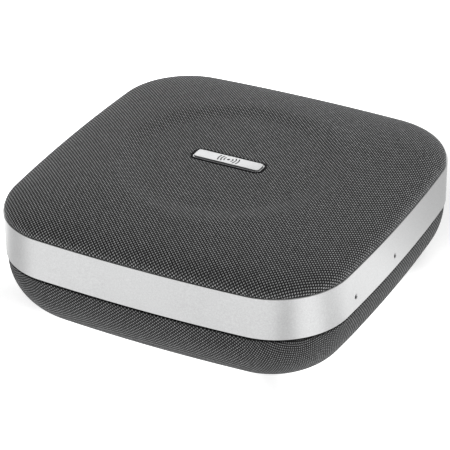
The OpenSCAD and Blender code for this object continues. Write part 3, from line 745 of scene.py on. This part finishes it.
def blasted(name, colour, roughness=0.36, grain=0.16, depth=0.006, mottle=0.05):
    """Bead-blasted, anodised aluminium: an even two-scale grain with faint handling marks."""
    s = Shader(name, Metallic=1.0)
    fine = s.noise(grain * MM, detail=2, roughness=0.6)
    coarse = s.noise(4 * grain * MM, detail=3, roughness=0.7)
    handled = s.noise(22 * MM, detail=4)
    grains = s.math("ADD", s.math("MULTIPLY", fine, 0.4), s.math("MULTIPLY", coarse, 0.6))
    tone = s.math("ADD", s.math("MULTIPLY", grains, 0.8), s.math("MULTIPLY", handled, 0.2))
    s.colour(s.mix(s.span(tone, 0.35, 0.65, 0, 1), shade(colour, 1 - mottle), shade(colour, 1 + mottle)))
    s.rough(s.span(handled, 0.3, 0.7, roughness - 0.03, roughness + 0.05))
    s.bump(grains, depth * MM, 0.7)
    return s.material


def brushed(name, colour, roughness=0.32, stretch=(1, 1, 12)):
    """Plated metal with fine streaks and faint stains."""
    s = Shader(name, Metallic=1.0)
    streaks = s.noise(0.35 * MM, s.place(stretch), detail=3, roughness=0.7)
    stains = s.noise(6 * MM, detail=3)
    s.colour(s.mix(s.math("MULTIPLY", streaks, stains), shade(colour, 0.8), shade(colour, 1.1)))
    s.rough(s.span(streaks, 0.3, 0.7, roughness - 0.08, roughness + 0.12))
    s.bump(streaks, 0.01 * MM, 0.5)
    return s.material


def rubber(name, colour, roughness=0.72):
    """Matte rubber with a little dust in its pores."""
    s = Shader(name, Specular_IOR_Level=0.3, Sheen_Weight=0.15)
    dust = s.noise(5 * MM, detail=5, roughness=0.65)
    s.colour(s.mix(s.span(dust, 0.45, 0.8, 0, 0.6), shade(colour, 0.9), shade(colour, 1.8)))
    s.rough(s.span(dust, 0.3, 0.7, roughness - 0.05, roughness + 0.1))
    s.bump(s.noise(0.18 * MM, detail=3), 0.02 * MM, 0.5)
    return s.material


def foam(name, colour):
    """Open-celled foam, with painted shade in the hollow of each cell."""
    s = Shader(name, Roughness=0.95)
    cells = s.voronoi(0.35 * MM)
    # painted shade: each cell is darkest at its hollow middle, where the bump is lowest
    s.colour(s.mix(cells, shade(colour, 0.5), shade(colour, 1.4)))
    s.bump(cells, 0.12 * MM, 0.8)
    return s.material


def pulp(name, colour):
    """Pressed paper fibre, as in a loudspeaker's cone."""
    s = Shader(name, Roughness=0.85)
    fibres = s.noise(0.5 * MM, s.place((1, 1, 3)), detail=6, roughness=0.75)
    s.colour(s.mix(fibres, shade(colour, 0.6), shade(colour, 1.7)))
    s.bump(fibres, 0.05 * MM, 0.8)
    return s.material


def circuit_board(name, mask):
    """Solder mask over copper runs, with bare pads."""
    s = Shader(name, Roughness=0.35, Coat_Weight=0.3)
    runs = s.node("ShaderNodeTexBrick", offset=0.5, squash=0.7)
    runs.inputs["Scale"].default_value = 1 / (5 * MM)
    runs.inputs["Mortar Size"].default_value = 0.06
    runs.inputs["Mortar Smooth"].default_value = 0.1
    s.link(s.place((1.3, 1, 1)), runs.inputs["Vector"])
    pads = s.math("LESS_THAN", s.voronoi(2.2 * MM), 0.16)
    copper = s.mix(runs.outputs["Fac"], mask, shade(mask, 1.9))
    s.colour(s.mix(pads, copper, (0.72, 0.62, 0.34)))
    s.rough(s.span(s.noise(1.5 * MM), 0.3, 0.7, 0.28, 0.42))
    s.bump(s.math("ADD", runs.outputs["Fac"], pads), 0.035 * MM, 0.6)
    return s.material


def film(name, colour):
    """Shrink film or vinyl: a thin gloss with fine creases."""
    s = Shader(name, Coat_Weight=0.4, Coat_Roughness=0.2)
    creases = s.noise(3.5 * MM, s.place((3, 1, 1)), detail=4, roughness=0.6)
    s.colour(s.mix(creases, shade(colour, 0.8), shade(colour, 1.2)))
    s.rough(s.span(creases, 0.3, 0.7, 0.28, 0.5))
    s.bump(creases, 0.06 * MM, 0.5)
    return s.material


def wound_wire(name, colour):
    """Varnished wire in close turns round +Z, with painted shade in the grooves between the turns."""
    s = Shader(name, Metallic=0.9)
    turns = s.math("SINE", s.math("MULTIPLY", s.part(s.place(), "Z"), 2 * math.pi / (0.3 * MM)))
    # painted shade: the colour falls to under half in the grooves between turns
    s.colour(s.mix(s.span(turns, -1, 1, 0, 1), shade(colour, 0.45), colour))
    s.rough(s.span(s.noise(1 * MM), 0.3, 0.7, 0.25, 0.4))
    s.bump(turns, 0.04 * MM)
    return s.material


def woven(name, warp, weft, gap_shade, sheen):
    """Plain weave: pale warp yarns over dark weft, with painted shade down their sides and in the open
    corners between them.
    """
    s = Shader(name, Roughness=0.85, Specular_IOR_Level=0.2, Sheen_Weight=sheen, Sheen_Roughness=0.4)
    s.surface.inputs["Sheen Tint"].default_value = (0.9, 0.92, 0.95, 1)
    flat_place = s.node("ShaderNodeAttribute", attribute_type="GEOMETRY", attribute_name="cloth")
    cloth = flat_place.outputs["Vector"]

    # the yarns wander a little from straight
    drift = s.noise(5 * MM, cloth, detail=4, roughness=0.7, output="Color")
    wander = s.vector("MULTIPLY", s.vector("SUBTRACT", drift, grey(0.5)), grey(0.45 * MM))
    spot = s.vector("ADD", cloth, wander)
    u = s.math("MULTIPLY", s.part(spot, "X"), 1 / WARP_PITCH)
    v = s.math("MULTIPLY", s.part(spot, "Y"), 1 / WEFT_PITCH)

    def yarn(value):
        """Height across a round yarn, 0 at its sides and 1 along its middle."""
        off = s.math("SUBTRACT", s.math("FRACT", value), 0.5)
        fall = s.math("MULTIPLY", s.math("MULTIPLY", off, off), 4.4)
        return s.math("SQRT", s.math("MAXIMUM", s.math("SUBTRACT", 1.0, fall), 0.0))

    sines = [s.math("SINE", s.math("MULTIPLY", x, math.pi)) for x in (u, v)]
    turn = s.math("MULTIPLY", sines[0], sines[1])
    over = s.math("ADD", s.math("MULTIPLY", yarn(u), 0.6), s.math("MULTIPLY", turn, 0.5))
    under = s.math("SUBTRACT", s.math("MULTIPLY", yarn(v), 0.6), s.math("MULTIPLY", turn, 0.5))
    height = s.math("MAXIMUM", over, under)
    on_top = s.span(s.math("SUBTRACT", over, under), -0.12, 0.12, 0, 1)

    fibre = s.noise(0.12 * MM, cloth, detail=3, roughness=0.6)
    melange = s.noise(1.6 * MM, s.vector("MULTIPLY", cloth, (3.0, 0.35, 1)), detail=3, roughness=0.6)
    worn = s.noise(28 * MM, cloth, detail=3)
    pale = s.mix(s.span(melange, 0.3, 0.7, 0, 1), shade(warp, 0.6), shade(warp, 1.45))
    dark = s.mix(s.span(fibre, 0.3, 0.7, 0, 1), shade(weft, 0.75), shade(weft, 1.25))
    yarns = s.mix(on_top, dark, pale)
    # painted shade: the colour darkens from the yarns' middles to the near-black gap colour between them
    shaded_yarns = s.mix(s.span(height, 0.45, 0.9, 0, 1), gap_shade, yarns)
    s.colour(s.mix(s.span(worn, 0.3, 0.7, 0, 0.12), shaded_yarns, shade(weft, 1.2)))
    s.rough(s.span(fibre, 0.3, 0.7, 0.78, 0.92))
    s.bump(s.math("ADD", height, s.math("MULTIPLY", fibre, 0.15)), 0.16 * MM, 0.8)
    return s.material


# the key is the record's material slot, or the finish of a piece made here; after the colour come
# the roughness, and for grained finishes the grain's size and depth in millimetres
materials = {
    # each cloth's third colour is the painted shade in the gaps between its yarns
    "crown_cloth": woven("crown_weave", (0.35, 0.353, 0.356), grey(0.02), grey(0.0005), 0.12),
    "bowl_cloth": woven("bowl_weave", (0.2, 0.202, 0.204), grey(0.008), grey(0.0003), 0.06),
    "band": blasted("band_anodised", (0.356, 0.3575, 0.359), 0.3, 0.16, 0.01, 0.15),
    "nameplate": blasted("nameplate_satin", (0.36, 0.362, 0.365), 0.45, 0.12, 0.004, 0.04),
    "etched": plastic("etched_recess", (0.03, 0.03, 0.032), 0.7, 0.1, 0.01),
    "bezel": plastic("bezel_moulded", (0.008, 0.008, 0.009), 0.7, 0.2, 0.008, 0.08),
    "foot": rubber("foot_rubber", (0.03, 0.03, 0.032)),
    "button": blasted("button_anodised", (0.46, 0.463, 0.466), 0.34, 0.12, 0.004),
    "base_plastic": plastic("base_moulded", (0.035, 0.035, 0.038), 0.6, 0.5, 0.05),
    "label_film": film("label_satin", (0.42, 0.43, 0.45)),
    "screw_steel": brushed("screw_zinc", (0.62, 0.63, 0.65)),
    "shell_plastic": plastic("shell_moulded", (0.016, 0.016, 0.017), 0.6, 0.3, 0.02),
    "box_plastic": plastic("box_moulded", (0.07, 0.07, 0.075), 0.58, 0.35, 0.03),
    "board": circuit_board("solder_mask", (0.015, 0.12, 0.05)),
    "led": film("led_lens", (0.8, 0.8, 0.74)),
    "gasket_foam": foam("gasket_foam", (0.07, 0.07, 0.075)),
    "basket_steel": plastic("basket_lacquer", (0.05, 0.05, 0.055), 0.4, 0.4, 0.01),
    "magnet_ferrite": plastic("ferrite", (0.07, 0.07, 0.075), 0.7, 0.2, 0.03),
    "plated_steel": brushed("pole_zinc", (0.64, 0.65, 0.66), 0.3),
    "spider_cloth": pulp("spider_resin", (0.6, 0.42, 0.12)),
    "surround_rubber": rubber("surround_rubber", (0.022, 0.022, 0.024), 0.6),
    "cone_paper": pulp("cone_pulp", (0.045, 0.045, 0.047)),
    "coil_copper": wound_wire("coil_wire", (0.72, 0.36, 0.18)),
    "radiator_alloy": blasted("radiator_satin", (0.6, 0.61, 0.63), 0.4, 0.3, 0.01),
    "shield_steel": brushed("shield_tin", (0.72, 0.73, 0.74), 0.38, (1, 8, 1)),
    "chip": plastic("chip_epoxy", (0.022, 0.022, 0.025), 0.5, 0.12, 0.01),
    "capacitor_can": brushed("capacitor_can", (0.7, 0.71, 0.73), 0.3, (1, 1, 6)),
    "connector_nylon": plastic("connector_nylon", (0.72, 0.7, 0.62), 0.45, 0.4, 0.01),
    "cell_wrap": film("cell_wrap", (0.03, 0.12, 0.3)),
    "port_steel": brushed("port_nickel", (0.7, 0.71, 0.72), 0.28, (1, 6, 1)),
    "jack_plastic": plastic("jack_moulded", (0.025, 0.025, 0.028), 0.5, 0.2, 0.01),
    "plunger_plastic": plastic("plunger_moulded", (0.7, 0.7, 0.64), 0.5, 0.3, 0.01),
    "mic_can": brushed("mic_gold", (0.78, 0.62, 0.32), 0.3),
    "red_wire": film("red_vinyl", (0.5, 0.03, 0.02)),
    "black_wire": film("black_vinyl", (0.02, 0.02, 0.02)),
}

# ---- The pieces that stand in for CAD solids ----


def painted(piece, material):
    """The piece, all in one material."""
    piece.data.materials.clear()
    piece.data.materials.append(materials[material])
    return piece


def fit(piece, body, slot, *nodes):
    """Puts the piece on its body, in place of the CAD nodes it stands in for."""
    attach(piece, body)
    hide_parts(*nodes)


crown, crown_cut = make_crown()
fit(painted(crown, "crown_cloth"), "case", "crown_cloth", "top_fabric")
bowl, bowl_cut = make_bowl()
fit(painted(bowl, "bowl_cloth"), "case", "bowl_cloth", "bottom_fabric")
for cover in (crown, bowl):
    modify(cover, "SOLIDIFY", thickness=CLOTH_T, offset=-1.0)
fit(painted(make_band(), "band"), "case", "band_aluminium", "band")
fit(make_nameplate(), "case", "nameplate_aluminium", "nameplate")
fit(painted(make_bezel(), "bezel"), "case", "bezel_plastic", "nameplate_bezel")
fit(painted(make_foot(), "foot"), "case", "foot_rubber", "foot_ring")
for name in BUTTONS:
    fit(make_button(name), name, "button_aluminium", name + "_button")

# ---- Finishes on the CAD solids that stay ----

slots = {entry["node"]: entry["material_slot"] for entry in frame["record"]["subparts"]}
for node, obj in frame["nodes"].items():
    finish = materials.get(slots[node])
    if finish is not None and obj.material_slots:
        for slot in obj.material_slots:
            slot.material = finish

# ---- Rubber rolls as their own pieces ----


def make_roll(node):
    """A roll as its own piece, copied from its CAD solid."""
    solid = frame["nodes"][node]
    roll = bpy.data.objects.new(node + "_roll", solid.data.copy())
    roll.matrix_world = solid.matrix_world
    bpy.context.scene.collection.objects.link(roll)
    fit(painted(roll, "surround_rubber"), "case", "surround_rubber", node)
    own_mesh(roll)


make_roll("driver_surround")
make_roll("left_radiator_surround")
make_roll("right_radiator_surround")

# ---- Floor, light and camera ----

FLOOR_GLOW = 1.4
# patches of painted light and painted shade in the table's glow, for the band to mirror: angle from +X
# and half width in degrees, then the change
PAINTED_FLOOR_LIGHT = ((-50, 8, -0.56), (-33, 10, 0.35), (-14, 10, -0.4), (62, 42, -1.25), (-150, 20, -0.92))
# how far from the middle the painted light and shade patches start to fade, and end
PAINTED_LIGHT_FADE = (0.2, 0.3)


def make_floor():
    """A pale table that glows, so that shadows stay faint, with patches of painted light and shade near
    it.
    """
    reach = 4
    verts = [(x, y, 0) for y in (-reach, reach) for x in (-reach, reach)]
    floor = new_object("floor", verts, [(0, 1, 3, 2)], smooth=False)
    s = Shader("floor_paper", Roughness=0.9, Specular_IOR_Level=0.1)
    s.colour(s.mix(s.noise(0.5), grey(0.88), grey(0.9)))
    s.surface.inputs["Emission Color"].default_value = (1, 1, 1, 1)
    outwards = s.vector("NORMALIZE", s.place())
    patches = 0.0
    # each patch is painted light or painted shade, added to the glow
    for angle, spread, change in PAINTED_FLOOR_LIGHT:
        aim = (math.cos(math.radians(angle)), math.sin(math.radians(angle)), 0)
        facing = s.vector("DOT_PRODUCT", outwards, aim, output="Value")
        painted_patch = s.span(facing, math.cos(math.radians(spread)), 1, 0, change)
        patches = s.math("ADD", patches, painted_patch)
    distance = s.vector("LENGTH", s.place(), output="Value")
    near = s.span(distance, *PAINTED_LIGHT_FADE, 1, 0)
    glow = s.math("ADD", s.math("MULTIPLY", patches, near), FLOOR_GLOW)
    s.link(glow, s.surface.inputs["Emission Strength"])
    floor.data.materials.append(s.material)


def area_light(name, place, aim, size, power):
    """A soft box of the given size in metres and power in watts, turned to its aim."""
    data = bpy.data.lights.new(name, "AREA")
    data.shape = "RECTANGLE"
    data.size, data.size_y = size
    data.energy = power
    light = bpy.data.objects.new(name, data)
    light.location = place
    light.rotation_euler = (Vector(aim) - Vector(place)).to_track_quat("-Z", "Y").to_euler()
    bpy.context.scene.collection.objects.link(light)


def make_world(shaded_yarns, unlit, turn):
    """A white studio that is dimmer on one side: the front (-Y), turned by some degrees."""
    world = bpy.data.worlds.new("studio")
    world.use_nodes = True
    tree = world.node_tree
    direction = tree.nodes.new("ShaderNodeTexCoord").outputs["Generated"]
    facing = tree.nodes.new("ShaderNodeVectorMath")
    facing.operation = "DOT_PRODUCT"
    tree.links.new(direction, facing.inputs[0])
    facing.inputs[1].default_value = (math.sin(math.radians(turn)), -math.cos(math.radians(turn)), 0)
    level = tree.nodes.new("ShaderNodeMapRange")
    level.interpolation_type = "SMOOTHSTEP"
    tree.links.new(facing.outputs["Value"], level.inputs["Value"])
    settings = (("From Min", -0.2), ("From Max", 0.75), ("To Min", shaded_yarns), ("To Max", unlit))
    for key, value in settings:
        level.inputs[key].default_value = value
    background = tree.nodes["Background"]
    background.inputs["Color"].default_value = (1, 1, 1, 1)
    tree.links.new(level.outputs[0], background.inputs["Strength"])
    bpy.context.scene.world = world


def make_camera():
    """A long lens from the front right, looking down at the band's middle."""
    azimuth, elevation, roll = (math.radians(x) for x in (28.12, 30.03, -0.88))
    distance = 0.928
    target = Vector((0, 0, (BAND_Z0 + BAND_Z1) / 2))
    level = Vector((math.cos(azimuth), math.sin(azimuth), 0))
    outwards = Vector((math.sin(azimuth), -math.cos(azimuth), 0))
    back = outwards * math.cos(elevation) + Vector((0, 0, math.sin(elevation)))
    right = level * math.cos(roll) + back.cross(level) * math.sin(roll)
    up = back.cross(right)
    data = bpy.data.cameras.new("camera")
    data.sensor_width = 36
    data.lens = 184.9
    data.shift_x = -0.00933
    data.shift_y = -0.05444
    data.clip_end = 20
    camera = bpy.data.objects.new("camera", data)
    turn = Matrix((right, up, back)).transposed().to_4x4()
    camera.matrix_world = Matrix.Translation(target + back * distance) @ turn
    bpy.context.scene.collection.objects.link(camera)
    bpy.context.scene.camera = camera


make_floor()
make_world(0.58, 0.16, -30)
area_light("key", (-0.34, 0.6, 0.5), (0, 0, 0.03), (0.5, 0.5), 2.2)
area_light("top", (-0.1, 0.3, 1.6), (0, 0, 0.03), (1.4, 1.4), 5.8)
make_camera()
bpy.context.scene.view_settings.view_transform = "Standard"
